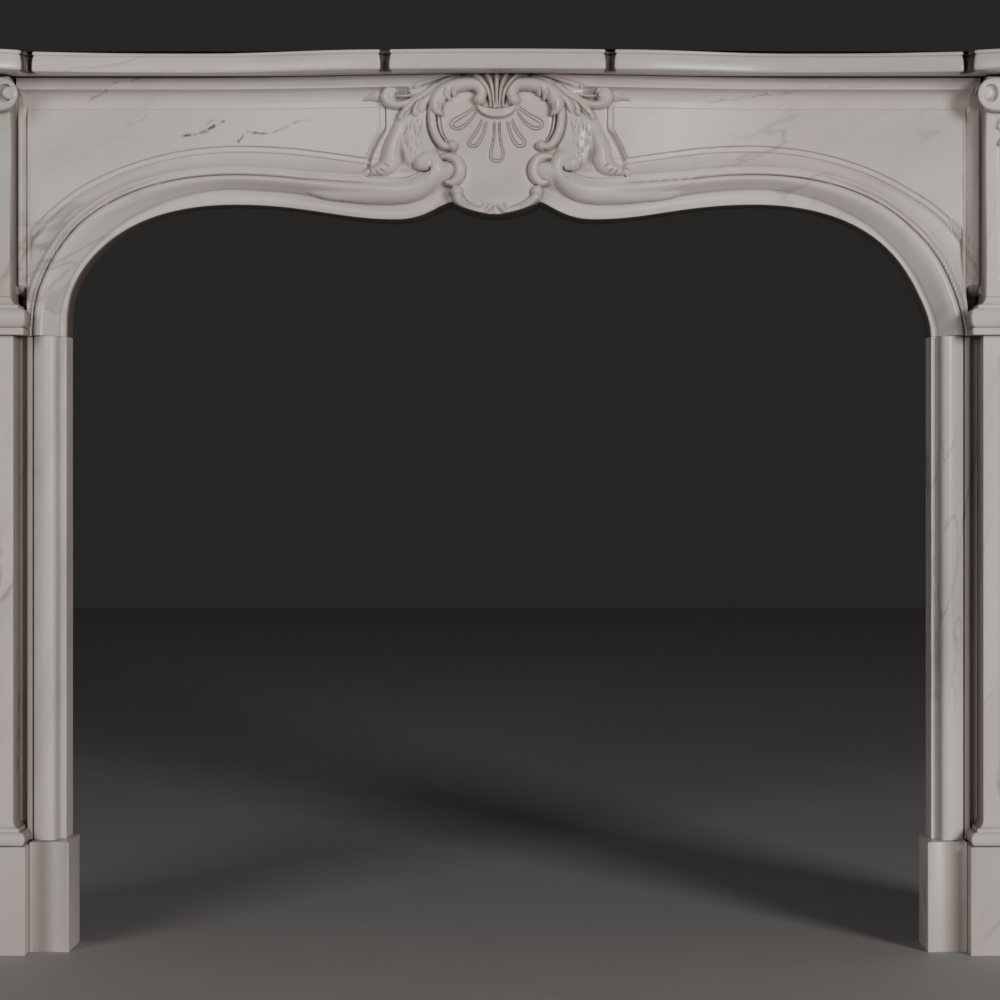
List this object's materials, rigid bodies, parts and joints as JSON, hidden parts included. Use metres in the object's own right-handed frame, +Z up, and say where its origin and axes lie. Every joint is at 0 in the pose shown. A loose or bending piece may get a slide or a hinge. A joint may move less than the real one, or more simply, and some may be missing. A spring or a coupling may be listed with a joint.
{
  "type": "marble fireplace surround",
  "caption": "Carved marble chimneypiece: serpentine shelf, arched frieze with a central cartouche, moulded jambs and panelled pilasters on foot blocks.",
  "frame": {"origin": "on the floor, at the middle of the bounding box's underside", "axes": "+X along the shelf to the viewer's right, +Y back towards the wall, +Z up; the carved front faces -Y"},
  "size_m": [1.58, 0.268, 1.116],
  "materials": {
    "marble": "satin"
  },
  "bodies": {
    "root": {"shelf": "marble", "frieze": "marble", "console_left": "marble", "console_right": "marble", "pilaster_left": "marble", "pilaster_right": "marble", "inner_jamb_left": "marble", "inner_jamb_right": "marble", "outer_block_left": "marble", "outer_block_right": "marble", "inner_block_left": "marble", "inner_block_right": "marble"}
  },
  "joints": []
}
